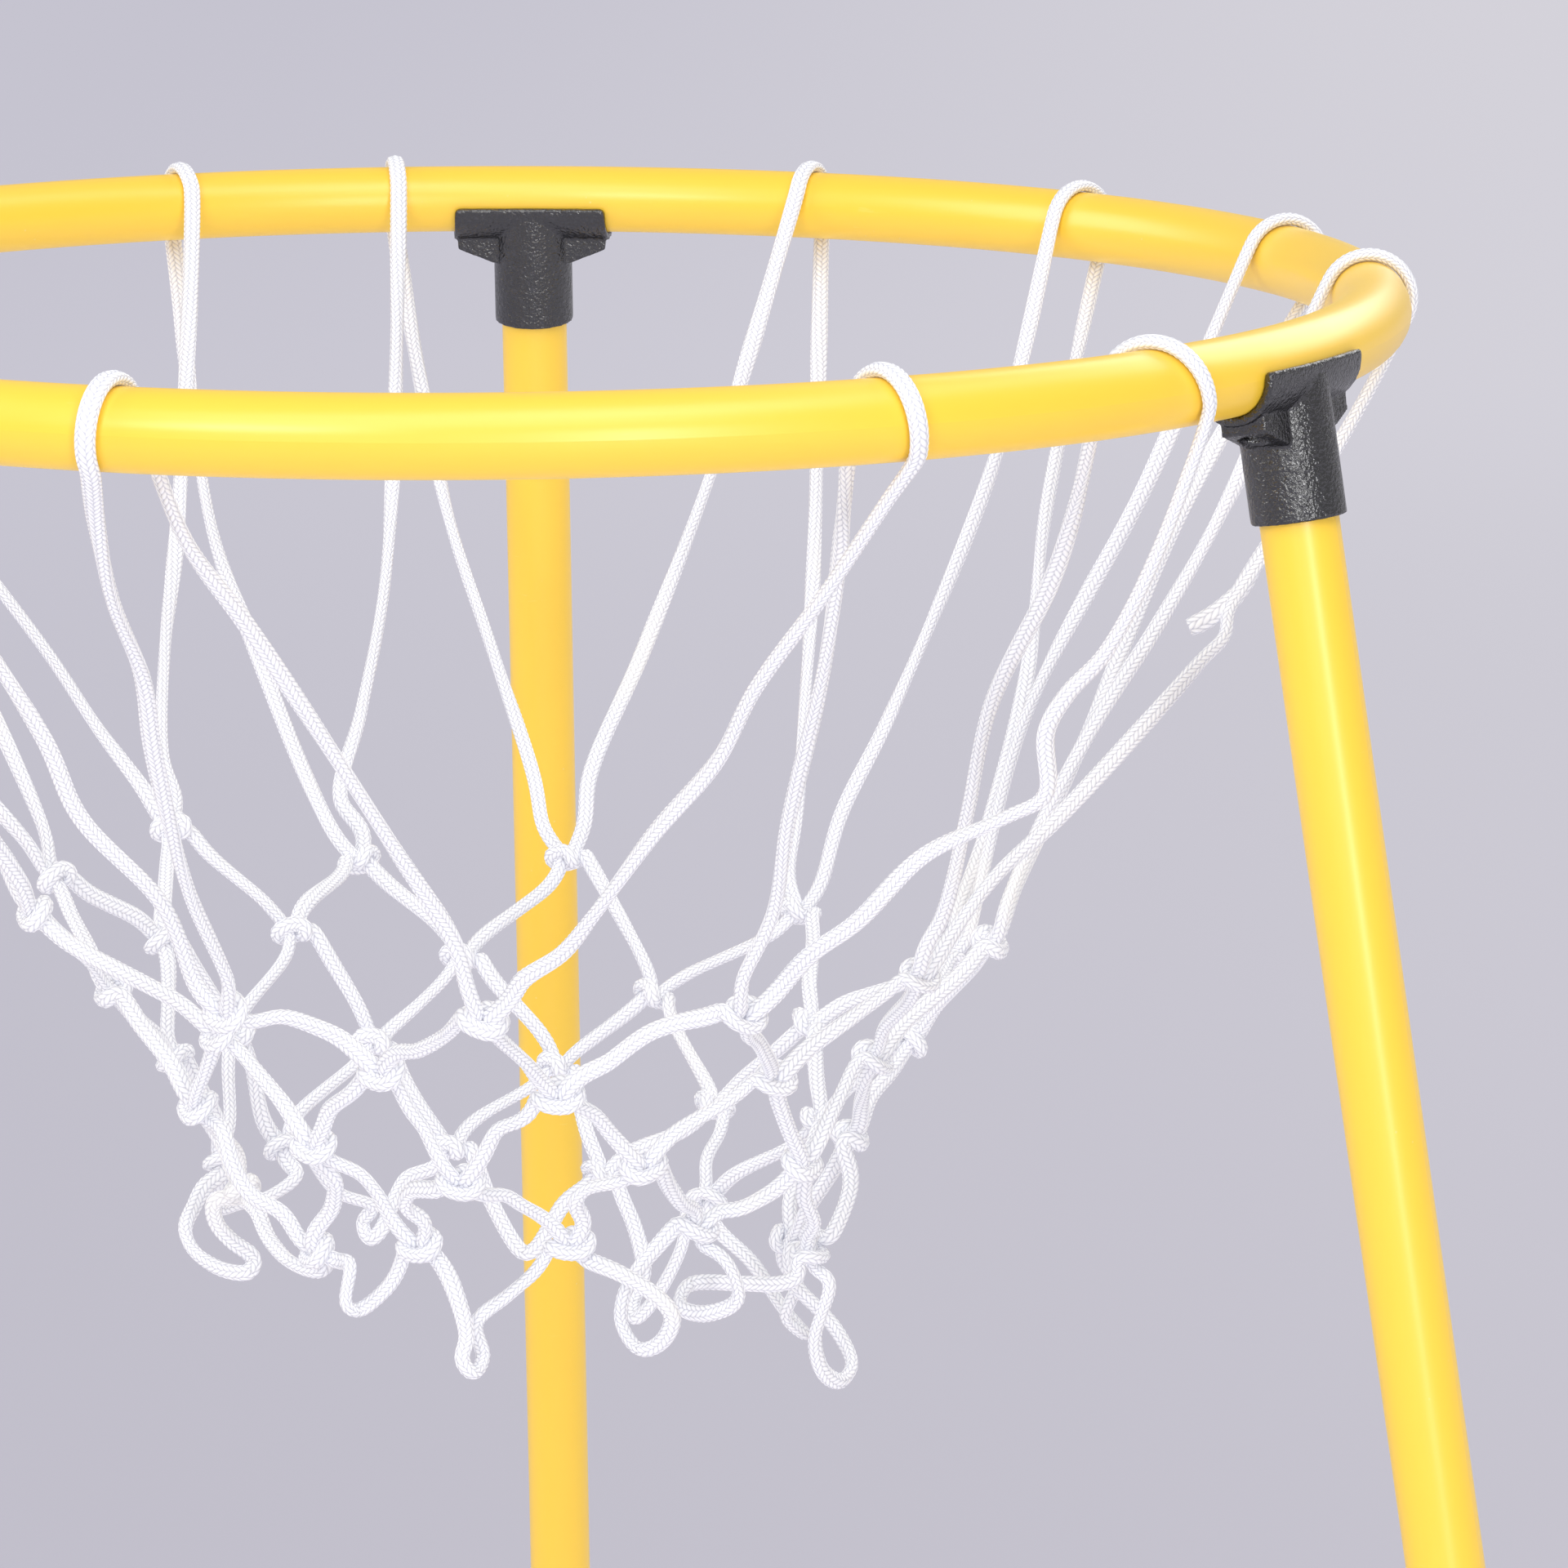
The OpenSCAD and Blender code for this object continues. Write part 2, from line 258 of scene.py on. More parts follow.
def makeTubePlastic():
    material, tree, shader = newMaterial("tubePlastic", {
        "IOR": 1.5, "Specular IOR Level": tubeFinish["specular"],
        "Coat Weight": tubeFinish["gloss"], "Coat Roughness": tubeFinish["glossRoughness"]})
    point = objectPoint(tree)
    wear = useGroup(tree, surfaceWear, **{
        "Vector": point, "Scuff Amount": tubeFinish["scuffAmount"],
        "Dust Amount": tubeFinish["dustAmount"]})
    blotches = noise(tree, point, tubeFinish["blotchScale"], 3.0)
    base = mixColour(tree, remap(tree, blotches, 0.35, 0.75, 0.0, 0.5),
                     tubeFinish["yellow"], tubeFinish["deepYellow"])
    base = mixColour(tree, wear["Scuffs"], base, tubeFinish["rubbed"])
    base = mixColour(tree, wear["Dust"], base, tubeFinish["dust"])
    plug(tree, base, shader.inputs["Base Color"])
    rough = calc(tree, "MULTIPLY_ADD", wear["Patches"], tubeFinish["patchRoughness"],
                 tubeFinish["roughness"])
    rough = calc(tree, "MULTIPLY_ADD", wear["Scuffs"], tubeFinish["scuffRoughness"], rough)
    plug(tree, rough, shader.inputs["Roughness"])
    peel = noise(tree, point, tubeFinish["peelScale"], 2.0)
    height = calc(tree, "MULTIPLY_ADD", wear["Scuffs"], tubeFinish["scuffHeight"], peel)
    normal = bumpNormal(tree, height, tubeFinish["peel"], tubeFinish["peelDepth"])
    plug(tree, normal, shader.inputs["Normal"])
    return material


connectorFinish = {
    "black": (0.004, 0.004, 0.006, 1),
    "grey": (0.018, 0.018, 0.024, 1),
    "scuffed": (0.06, 0.06, 0.065, 1),
    "roughness": 0.18,
    "glintRoughness": -0.10,
    "patchRoughness": 0.08,
    "scuffAmount": 0.3,
    "coarse": 1.3,          # share of the coarser pits
    "grain": 1.0,
    "grainDepth": 0.0003,
}


def makeConnectorPlastic():
    material, tree, shader = newMaterial("connectorPlastic", {"IOR": 1.6, "Specular IOR Level": 1.0})
    point = objectPoint(tree)
    grain = useGroup(tree, mouldGrain, **{"Vector": point, "Coarse": connectorFinish["coarse"]})
    wear = useGroup(tree, surfaceWear, **{
        "Vector": point, "Scuff Amount": connectorFinish["scuffAmount"]})
    base = mixColour(tree, grain["Glints"], connectorFinish["black"], connectorFinish["grey"])
    base = mixColour(tree, wear["Scuffs"], base, connectorFinish["scuffed"])
    plug(tree, base, shader.inputs["Base Color"])
    rough = calc(tree, "MULTIPLY_ADD", grain["Glints"], connectorFinish["glintRoughness"],
                 connectorFinish["roughness"])
    rough = calc(tree, "MULTIPLY_ADD", wear["Patches"], connectorFinish["patchRoughness"], rough)
    plug(tree, rough, shader.inputs["Roughness"])
    normal = bumpNormal(tree, grain["Height"], connectorFinish["grain"], connectorFinish["grainDepth"])
    plug(tree, normal, shader.inputs["Normal"])
    return material


footFinish = {
    "black": (0.020, 0.020, 0.020, 1),
    "faded": (0.034, 0.033, 0.032, 1),
    "scuffed": (0.10, 0.095, 0.09, 1),
    "dust": (0.28, 0.26, 0.24, 1),
    "roughness": 0.66,
    "patchRoughness": 0.12,
    "scuffAmount": 0.6,
    "dustAmount": 0.8,
    "coarse": 0.4,
    "grain": 0.3,
    "grainDepth": 0.0002,
}


def makeFootRubber():
    material, tree, shader = newMaterial("footRubber", {"IOR": 1.45, "Specular IOR Level": 0.3})
    point = objectPoint(tree)
    grain = useGroup(tree, mouldGrain, **{"Vector": point, "Coarse": footFinish["coarse"]})
    wear = useGroup(tree, surfaceWear, **{
        "Vector": point, "Scuff Amount": footFinish["scuffAmount"],
        "Dust Amount": footFinish["dustAmount"]})
    base = mixColour(tree, wear["Patches"], footFinish["black"], footFinish["faded"])
    base = mixColour(tree, wear["Scuffs"], base, footFinish["scuffed"])
    base = mixColour(tree, wear["Dust"], base, footFinish["dust"])
    plug(tree, base, shader.inputs["Base Color"])
    rough = calc(tree, "MULTIPLY_ADD", wear["Patches"], footFinish["patchRoughness"],
                 footFinish["roughness"])
    plug(tree, rough, shader.inputs["Roughness"])
    normal = bumpNormal(tree, grain["Height"], footFinish["grain"], footFinish["grainDepth"])
    plug(tree, normal, shader.inputs["Normal"])
    return material


spliceFinish = {
    "black": (0.013, 0.013, 0.014, 1),
    "grey": (0.03, 0.03, 0.03, 1),
    "roughness": 0.6,
    "glintRoughness": -0.1,
    "coarse": 0.3,
    "grain": 0.25,
    "grainDepth": 0.0002,
}


def makeSplicePlastic():
    material, tree, shader = newMaterial("splicePlastic", {"IOR": 1.48, "Specular IOR Level": 0.4})
    point = objectPoint(tree)
    grain = useGroup(tree, mouldGrain, **{"Vector": point, "Coarse": spliceFinish["coarse"]})
    base = mixColour(tree, grain["Glints"], spliceFinish["black"], spliceFinish["grey"])
    plug(tree, base, shader.inputs["Base Color"])
    rough = calc(tree, "MULTIPLY_ADD", grain["Glints"], spliceFinish["glintRoughness"],
                 spliceFinish["roughness"])
    plug(tree, rough, shader.inputs["Roughness"])
    normal = bumpNormal(tree, grain["Height"], spliceFinish["grain"], spliceFinish["grainDepth"])
    plug(tree, normal, shader.inputs["Normal"])
    return material


screwFinish = {
    "bright": (0.88, 0.76, 0.54, 1),
    "tarnished": (0.68, 0.54, 0.34, 1),
    "metallic": 0.7,
    "roughness": 0.28,
    "tarnishRoughness": 0.2,
    "tarnishScale": 480.0,
    "pitting": 0.2,
    "pittingDepth": 0.0001,
    "pittingScale": 2400.0,
}


def makeScrewMetal():
    material, tree, shader = newMaterial("screwMetal", {"Metallic": screwFinish["metallic"]})
    point = objectPoint(tree)
    tarnish = remap(tree, noise(tree, point, screwFinish["tarnishScale"], 3.0), 0.4, 0.7)
    base = mixColour(tree, tarnish, screwFinish["bright"], screwFinish["tarnished"])
    plug(tree, base, shader.inputs["Base Color"])
    rough = calc(tree, "MULTIPLY_ADD", tarnish, screwFinish["tarnishRoughness"],
                 screwFinish["roughness"])
    plug(tree, rough, shader.inputs["Roughness"])
    pits = noise(tree, point, screwFinish["pittingScale"], 2.0)
    normal = bumpNormal(tree, pits, screwFinish["pitting"], screwFinish["pittingDepth"])
    plug(tree, normal, shader.inputs["Normal"])
    return material


cordFinish = {
    "stitch": (0.915, 0.925, 0.955, 1),
    # painted shade: the grooves between the stitches are painted darker and lilac
    "shadedGap": (0.545, 0.55, 0.625, 1),
    "cream": (0.90, 0.88, 0.79, 1),
    "dull": (0.70, 0.69, 0.76, 1),
    "pitch": 1.7,           # length of a stitch, mm
    "slant": 0.9,
    "creamScale": 16.0,
    "shadeScale": 900.0,
    "roughness": 0.42,
    "yarnRoughness": 0.12,
    "yarnHeight": 0.06,
    "glow": 0.07,           # stands for the light that passes through the thin white braid
    "glowColour": (0.86, 0.87, 1.0, 1),
    "relief": 0.7,
    "reliefDepth": 0.0003,
}


def makeCordBraid():
    material, tree, shader = newMaterial("cordBraid", {
        "IOR": 1.5, "Specular IOR Level": 0.45, "Emission Color": cordFinish["glowColour"],
        "Emission Strength": cordFinish["glow"]})
    uv = addNode(tree, "ShaderNodeUVMap", uv_map="cordMap").outputs["UV"]
    point = objectPoint(tree)
    stitches = useGroup(tree, braid, **{
        "Vector": uv, "Pitch": cordFinish["pitch"], "Slant": cordFinish["slant"]})
    # the grooves between the stitches take the painted shade colour
    base = mixColour(tree, stitches["Stitch"], cordFinish["shadedGap"], cordFinish["stitch"])
    handled = noise(tree, point, cordFinish["creamScale"], 2.0)
    base = mixColour(tree, remap(tree, handled, 0.62, 0.72, 0.0, 0.3), base, cordFinish["cream"])
    shade = noise(tree, point, cordFinish["shadeScale"], 2.0)
    base = mixColour(tree, remap(tree, shade, 0.3, 0.75, 0.0, 0.1), base, cordFinish["dull"])
    plug(tree, base, shader.inputs["Base Color"])
    rough = calc(tree, "MULTIPLY_ADD", stitches["Yarn"], cordFinish["yarnRoughness"],
                 cordFinish["roughness"])
    plug(tree, rough, shader.inputs["Roughness"])
    height = calc(tree, "MULTIPLY_ADD", stitches["Yarn"], cordFinish["yarnHeight"],
                  stitches["Height"])
    normal = bumpNormal(tree, height, cordFinish["relief"], cordFinish["reliefDepth"])
    plug(tree, normal, shader.inputs["Normal"])
    return material


materials = {
    "tube_plastic": makeTubePlastic(),
    "connector_plastic": makeConnectorPlastic(),
    "foot_rubber": makeFootRubber(),
    "splice_plastic": makeSplicePlastic(),
    "screw_metal": makeScrewMetal(),
    "net_cord": makeCordBraid(),
}
print("materials made:", len(materials))


# Hard pieces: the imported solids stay, with their finish and softened edges

edges = {
    "foot": 0.0006,          # widths of the softened edges
    "screws": 0.00012,
    "sharpest": 32,          # edges flatter than this many degrees stay
    "mouldGrid": 0.00045,    # how finely the moulded connectors are softened
    "mouldRounding": 4,
    "mouldEase": 0.5,
    "weld": 0.00001,
}


def weldEdges(piece):
    weld = piece.modifiers.new("weld", "WELD")
    weld.merge_threshold = edges["weld"]


def finishNode(node, slot, bevel=0.0):
    piece = cadNodes[node]
    piece.data.materials.clear()
    piece.data.materials.append(materials[slot])
    if bevel:
        weldEdges(piece)
        rounding = piece.modifiers.new("edges", "BEVEL")
        rounding.width = bevel
        rounding.segments = 2
        rounding.limit_method = "ANGLE"
        rounding.angle_limit = math.radians(edges["sharpest"])
        rounding.harden_normals = False


def softenMoulding(piece):
    # moulded corners: the connector's skin is rebuilt on a fine grid and eased
    weldEdges(piece)
    grid = piece.modifiers.new("grid", "REMESH")
    grid.mode = "VOXEL"
    grid.voxel_size = edges["mouldGrid"]
    grid.use_smooth_shade = True
    ease = piece.modifiers.new("ease", "SMOOTH")
    ease.factor = edges["mouldEase"]
    ease.iterations = edges["mouldRounding"]


finishNode("hoop_tube", "tube_plastic")
finishNode("hoop_splice", "splice_plastic")
finishNode("connector_screws", "screw_metal", edges["screws"])
for leg in ("back", "front_left", "front_right"):
    finishNode("leg_" + leg, "tube_plastic")
    finishNode("connector_" + leg, "connector_plastic")
    softenMoulding(cadNodes["connector_" + leg])
    finishNode("foot_" + leg, "foot_rubber", edges["foot"])
print("hard pieces finished")


# The net: one endless cord, in mm from the middle of the hoop, until it is swept

net = {
    "wide": 2.3,             # half width and half thickness of the flattened cord
    "thin": 1.75,
    "hoopWide": 2.6,         # it is pressed wider where it crosses the hoop
    "pressedBetween": (-150, -20),     # heights between which it grows wider
    "knotWide": 2.4,
    "knotThin": 1.88,
    "breathing": 0.035,      # how much its thickness varies
    "breathingRings": 37.0,  # rings to a radian of that wave
    "knotUnit": 3.75,        # size of a knot's own grid
    "knotReach": 17,         # the pull of a knot fades to nothing this far from its middle
    "knotFade": 7,
    "knotLean": 0.16,        # how much the knots differ in turn and in size
    "knotVariety": 0.06,
    "knotUpright": 0.35,     # how far a knot is drawn upright
    "overHoop": 11.85,       # from the middle of the hoop's tube to the middle of the cord
    "wrapSteps": 14,
    "knotGap": 3.35,         # how near two cords lie in a knot, and anywhere else
    "looseGap": 4.1,
    "relaxSteps": 30,
    "quickSteps": 20,
    "pull": 0.6,
    "pushRounds": 3,
    "onTube": 0.3,           # cord this near to its place on the hoop's tube stays put
    "driftReach": 10,        # cord this near to a knot's middle counts as the knot
    "driftAllowed": 1.5,     # a knot that drifts further is drawn back
    "driftPull": 0.1,
    "searchEvery": 10,       # steps between two searches for cords that lie close
    "searchReach": 1.4,      # how far they look, in loose gaps
    "nearAlong": 6,          # neighbours along the cord that don't count as close
    "stitchDepth": 0.13,
    "stitchOn": 2.1,         # the half size that the depth is meant for
    "stitchShare": 0.6,
    "stitchValley": -0.6,    # level between two columns of stitches
    "splineSteps": 12,       # points between two bends
    "smoothRounds": 3,
    "sampleStep": 1.0,
    "ringStep": 0.5667,
    "straightReach": 25,     # the cord lies flat on the hoop this far, then starts to wander
    "wanderFade": 40,
    "wander": [(0.8, 23, 1), (0.9, 61, 0)],     # its waves: turn, mm to a radian, and shift
    "startAcross": (0.3, 0.2, 1.0),
    "startFacing": (0.4, 0.8, 0.2),
    "flatTurn": 60,          # degrees round the tube from its outside, where the cord is laid flat
    "stub": [(209, -17.5, -69.5), (203, -21, -80), (191.5, -22, -84.5)],     # the cord's blunt end
    "stubFaces": (0.05, 0.98, -0.18),
    "stubLoop": 3,
    "stubRings": 30,
    "stubSwell": (0.8, 0.32),
    "stubTaper": 0.14,
}

# knots of each row, from the front left one round to the right
knotRows = [
    [(-58, -109, -169), (10, -130, -165), (75, -109, -169), (120, -63, -170), (140, -4, -175),
     (129, 70, -197), (85, 115, -195), (16, 132, -183), (-45, 120, -181), (-94, 75, -162),
     (-118, 8, -161), (-114, -59, -155)],
    [(-19, -99, -187), (27, -104, -192), (82, -74, -195), (108, -30, -201), (118, 23, -210),
     (89, 71, -218), (43, 102, -217), (-13, 102, -206), (-60, 79, -193), (-92, 35, -185),
     (-99, -24, -185), (-65, -66, -186)],
    [(-39, -78, -213), (1, -95, -218), (48, -85, -216), (89, -50, -225), (102, -4, -230),
     (92, 39, -238), (61, 80, -245), (15, 95, -237), (-37, 82, -227), (-74, 50, -216),
     (-86, 5, -211), (-74, -43, -212)],
    [(-12, -72, -242), (28, -73, -241), (61, -56, -241), (90, -24, -258), (84, 12, -265),
     (60, 51, -264), (29, 75, -264), (-15, 77, -257), (-61, 54, -250), (-75, 23, -246),
     (-66, -14, -243), (-41, -55, -249)],
]
loopCount = len(knotRows[0])

# where each loop crosses the hoop: azimuth of its outer and of its inner side
loopAzimuths = [(-106.6, -105.9), (-61.5, -62.9), (-41.2, -44.0), (2, 2), (22, 22), (46, 46),
                (69, 69), (100, 100), (116, 116), (154, 154), (194, 194), (229, 229)]

# bends of the long legs between the hoop and the first row, from the hoop down
outerLegs = {
    0: [(-72, -222, -23), (-71, -204, -45), (-67, -185, -67), (-67, -171, -86), (-66, -158, -103),
        (-63, -137, -131)],
    1: [(112, -211, -19), (97, -197, -44), (80, -183, -70), (71, -173, -89), (55, -161, -110),
        (39, -149, -134), (31, -143, -145), (20, -137, -154)],
    2: [(177, -158, -41), (165, -150, -67), (156, -146, -78), (151, -143, -88), (151, -139, -105),
        (142, -136, -111), (121, -128, -123), (104, -121, -142), (92, -116, -152)],
    3: [(232, -4, -37), (208, -18, -70), (202, -22, -80), (201, -25, -86), (195, -28, -92),
        (179, -35, -109), (155, -46, -133), (140, -52, -146)],
    4: [(196, 60, -60), (163, 22, -130)],
    5: [(157, 139, -79), (151, 113, -125), (140, 90, -164)],
    6: [(88, 173, -104), (86, 152, -138), (84, 131, -170)],
    7: [(-24, 195, -89), (-9, 170, -127), (5, 147, -162)],
    8: [(-93, 175, -93), (-79, 156, -124), (-63, 135, -157)],
    9: [(-180, 96, -52), (-132, 86, -111), (-116, 81, -134)],
    10: [(-190, -32, -66), (-146, -8, -122)],
    11: [(-139, -137, -63), (-128, -96, -112)],
}
innerLegs = {
    0: [(-54, -200, -31), (-42, -187, -53), (-28, -172, -80), (-10, -153, -116), (4, -138, -145)],
    1: [(100, -178, -40), (96, -160, -71), (87, -138, -113), (83, -124, -139)],
    2: [(157, -133, -37), (152, -123, -55), (138, -103, -89), (132, -87, -122), (126, -72, -152)],
    3: [(202, 4, -56), (185, 2, -87), (167, 0, -116), (152, -2, -145)],
    4: [(184, 80, -62), (150, 78, -130)],
    5: [(142, 149, -66), (111, 129, -140), (97, 122, -168)],
    6: [(57, 181, -76), (37, 158, -127), (22, 142, -161)],
    7: [(-40, 167, -104), (-46, 144, -142), (-51, 129, -166)],
    8: [(-99, 139, -87), (-100, 112, -118), (-98, 89, -145)],
    9: [(-176, 66, -62), (-138, 28, -118)],
    10: [(-184, -44, -52), (-143, -52, -104)],
    11: [(-99, -137, -91), (-91, -129, -114), (-72, -119, -139)],
}

# bends between two rows, keyed by strand, loop and the upper row
rowBends = {
    ("outer", 0, 0): [(-47, -106, -171), (-33, -102, -176)],
    ("inner", 0, 0): [(1, -121, -171), (-9, -111, -179)],
    ("outer", 1, 0): [(14, -123, -173), (21, -113, -183)],
    ("inner", 1, 0): [(67, -109, -170), (52, -108, -174), (37, -106, -185)],
    ("outer", 2, 0): [(78, -94, -180), (81, -82, -189)],
    ("inner", 2, 0): [(112, -66, -174), (97, -70, -184)],
    ("outer", 0, 1): [(-25, -94, -193), (-35, -85, -203)],
    ("inner", 0, 1): [(-14, -98, -195), (-8, -97, -204)],
    ("outer", 1, 1): [(21, -103, -198), (11, -100, -203)],
    ("inner", 1, 1): [(33, -99, -196), (40, -92, -206)],
    ("outer", 0, 2): [(-30, -77, -219), (-23, -75, -227)],
    ("inner", 0, 2): [(-3, -93, -221), (-13, -84, -224), (-15, -79, -231)],
    ("outer", 1, 2): [(10, -88, -223), (16, -83, -228)],
    ("inner", 1, 2): [(43, -85, -221), (33, -81, -224), (29, -78, -230)],
    ("outer", 2, 2): [(53, -76, -222), (59, -62, -235)],
    ("inner", 2, 2): [(80, -54, -233), (69, -56, -238)],
    ("outer", 3, 2): [(89, -41, -236), (92, -31, -249)],
    ("inner", 3, 2): [(102, -9, -238), (99, -17, -250), (94, -22, -257)],
    ("outer", 11, 2): [(-67, -48, -215), (-64, -52, -225), (-59, -53, -234), (-49, -53, -240)],
    ("inner", 11, 2): [(-35, -71, -223), (-35, -65, -231), (-38, -60, -239)],
}

# the open loops that hang from the last row, from the knot before to the knot of that loop
bottomLoops = [
    [(-31, -62, -249), (-32, -69, -260), (-29, -67, -262), (-19, -67, -253)],
    [(-4, -77, -249), (1, -82, -264), (0, -85, -270), (3, -84, -274), (5, -78, -271),
     (3, -75, -263), (12, -74, -255), (21, -73, -247)],
    [(36, -76, -246), (50, -76, -254), (55, -74, -261), (52, -71, -269), (46, -68, -272),
     (41, -64, -266), (42, -62, -258), (49, -58, -248)],
    [(67, -59, -247), (72, -57, -261), (63, -52, -267), (56, -45, -267), (58, -39, -263),
     (73, -34, -264), (84, -31, -265), (90, -29, -263)],
    [(97, -25, -264), (94, -24, -275), (92, -23, -283), (94, -20, -293), (99, -14, -298),
     (102, -8, -295), (98, -1, -288), (92, 3, -282), (86, 4, -276)],
    [(86, 18, -280), (83, 21, -290), (88, 27, -297), (82, 34, -292), (73, 39, -280)],
    [(53, 52, -278), (43, 54, -298), (39, 56, -302), (38, 61, -299), (41, 64, -291), (38, 69, -278)],
    [(20, 74, -270), (9, 70, -286), (6, 70, -287), (-4, 74, -272)],
    [(-27, 71, -264), (-35, 59, -278), (-38, 60, -280), (-40, 63, -276), (-37, 62, -271),
     (-47, 57, -265)],
    [(-55, 47, -256), (-65, 40, -262), (-72, 37, -263), (-78, 31, -263), (-79, 28, -258)],
    [(-78, 17, -249), (-82, 11, -256), (-84, 5, -261), (-81, 0, -266), (-72, -5, -270),
     (-65, -6, -270), (-64, -4, -267), (-70, -6, -261), (-74, -8, -255), (-74, -11, -246)],
    [(-61, -24, -246), (-56, -35, -252), (-49, -44, -256), (-41, -50, -257), (-37, -52, -254)],
]

# a knot on its own grid: x along the row, y up, z outwards; each strand from its upper end down
wrapStrand = [
    (-1.45, 1.7, 0.1), (-0.9, 1.1, 0.42), (-0.48, 0.45, 0.46), (-0.28, -0.2, 0.05),
    (-0.12, -0.8, -0.35), (0.05, -1.15, -0.8), (-0.2, -0.85, -1.2), (-0.4, -0.2, -1.2),
    (-0.15, 0.45, -1.0), (0.5, 0.6, -0.7), (1.0, 0.4, -0.2), (1.12, -0.05, 0.4), (0.8, -0.5, 0.85),
    (0.1, -0.72, 1.0), (-0.65, -0.55, 0.95), (-1.1, -0.05, 0.62), (-1.12, 0.35, 0.05),
    (-1.08, 0.2, -0.55), (-1.25, -0.4, -0.7), (-1.6, -1.1, -0.45),
]
coreStrand = [
    (1.45, 1.8, 0.1), (0.95, 1.2, 0.4), (0.5, 0.5, 0.4), (0.48, -0.3, 0.05), (0.62, -1.0, -0.35),
    (1.1, -1.7, -0.2),
]
# knots tied the other way round: row and place
mirroredKnots = {(2, 2), (2, 3), (1, 4), (3, 5), (0, 8), (2, 9), (1, 10)}


def unit(vector):
    vector = np.asarray(vector, float)
    return vector / np.linalg.norm(vector)


def onHoop(azimuth, turn):
    # a point of the cord where it wraps the hoop's tube: turn 0 is outermost, 90 the top
    a, t = math.radians(azimuth), math.radians(turn)
    reach = ringRadius * 1000 + net["overHoop"] * math.cos(t)
    return np.array((reach * math.cos(a), reach * math.sin(a), net["overHoop"] * math.sin(t)))


def touchTurn(azimuth, target, side):
    # where the cord leaves the tube on its way to the target
    a = math.radians(azimuth)
    across = target[0] * math.cos(a) + target[1] * math.sin(a) - ringRadius * 1000
    distance = math.hypot(across, target[2])
    middle = math.degrees(math.atan2(target[2], across))
    spread = math.degrees(math.acos(min(1.0, net["overHoop"] / distance)))
    turn = middle + side * spread
    while turn < -90:
        turn += 360
    while turn >= 270:
        turn -= 360
    return turn


def hoopWrap(loop):
    outer, inner = loopAzimuths[loop]
    start = touchTurn(outer, outerLegs[loop][0], 1)
    end = touchTurn(inner, innerLegs[loop][0], -1)
    steps = net["wrapSteps"]
    return [onHoop(outer + (inner - outer) * i / steps, start + (end - start) * i / steps)
            for i in range(steps + 1)]


def knotAxes(row, place):
    here = np.array(knotRows[row][place], float)
    if row == 0:
        above = [outerLegs[place][-1], innerLegs[(place - 1) % loopCount][-1]]
    elif row == 2:
        above = [knotRows[1][place], knotRows[1][place - 1]]
    else:
        above = [knotRows[row - 1][place], knotRows[row - 1][(place + 1) % loopCount]]
    if row == 3:
        below = [bottomLoops[place][-1], bottomLoops[(place + 1) % loopCount][0]]
    elif row == 1:
        below = [knotRows[2][place], knotRows[2][(place + 1) % loopCount]]
    else:
        below = [knotRows[row + 1][place], knotRows[row + 1][place - 1]]
    up = sum(unit(np.array(p) - here) for p in above) - sum(unit(np.array(p) - here) for p in below)
    up = unit(unit(up) + np.array((0, 0, net["knotUpright"])))
    after, before = knotRows[row][(place + 1) % loopCount], knotRows[row][place - 1]
    along = np.array(after, float) - np.array(before, float)
    along = unit(along - np.dot(along, up) * up)
    return here, along, up, np.cross(along, up)


def knotPoints(row, place, strand):
    here, along, up, out = knotAxes(row, place)
    swapped = (row, place) in mirroredKnots
    template = wrapStrand if (strand == "left") != swapped else coreStrand
    hand = -1 if swapped else 1
    # no two knots are pulled alike
    lean = net["knotLean"] * math.sin(5.1 * place + 2.3 * row)
    c, s = math.cos(lean), math.sin(lean)
    along, up = c * along + s * up, c * up - s * along
    swell = net["knotUnit"] * (1 + net["knotVariety"] * math.sin(3.7 * place + 1.9 * row + 1))
    return [here + swell * (hand * x * along + y * up + z * out) for x, y, z in template]


def strandDown(loop, strand):
    # one side of a loop, from the hoop down to its last knot; a knot of row 0 or 2 joins two loops
    share = loop if strand == "outer" else (loop + 1) % loopCount
    places = [share, loop, share, loop]
    sides = ["right", "left"] * 2 if strand == "outer" else ["left", "right"] * 2
    path = list(outerLegs[loop] if strand == "outer" else innerLegs[loop])
    for row in range(4):
        path += knotPoints(row, places[row], sides[row])
        if row < 3:
            path += rowBends.get((strand, loop, row), [])
    return [np.array(p, float) for p in path]


def smoothPath(points, step):
    # centripetal spline through a closed list of points, then evenly spaced
    points = np.array(points)
    before, after, beyond = np.roll(points, 1, 0), np.roll(points, -1, 0), np.roll(points, -2, 0)
    k0 = np.sqrt(np.linalg.norm(points - before, axis=1))[:, None]
    k1 = np.sqrt(np.linalg.norm(after - points, axis=1))[:, None]
    k2 = np.sqrt(np.linalg.norm(beyond - after, axis=1))[:, None]
    tangent0 = k1 * ((points - before) / k0 - (after - before) / (k0 + k1)) + (after - points)
    tangent1 = k1 * ((beyond - after) / k2 - (beyond - points) / (k1 + k2)) + (after - points)
    fine = []
    for t in np.linspace(0, 1, net["splineSteps"], endpoint=False):
        fine.append((2 * t**3 - 3 * t**2 + 1) * points + (t**3 - 2 * t**2 + t) * tangent0
                    + (3 * t**2 - 2 * t**3) * after + (t**3 - t**2) * tangent1)
    dense = np.stack(fine, 1).reshape(-1, 3)
    return evenPath(dense, step)


def evenPath(dense, step):
    closed = np.vstack([dense, dense[:1]])
    length = np.concatenate([[0], np.cumsum(np.linalg.norm(np.diff(closed, axis=0), axis=1))])
    count = int(round(length[-1] / step))
    at = np.linspace(0, length[-1], count, endpoint=False)
    return np.stack([np.interp(at, length, closed[:, i]) for i in range(3)], 1)


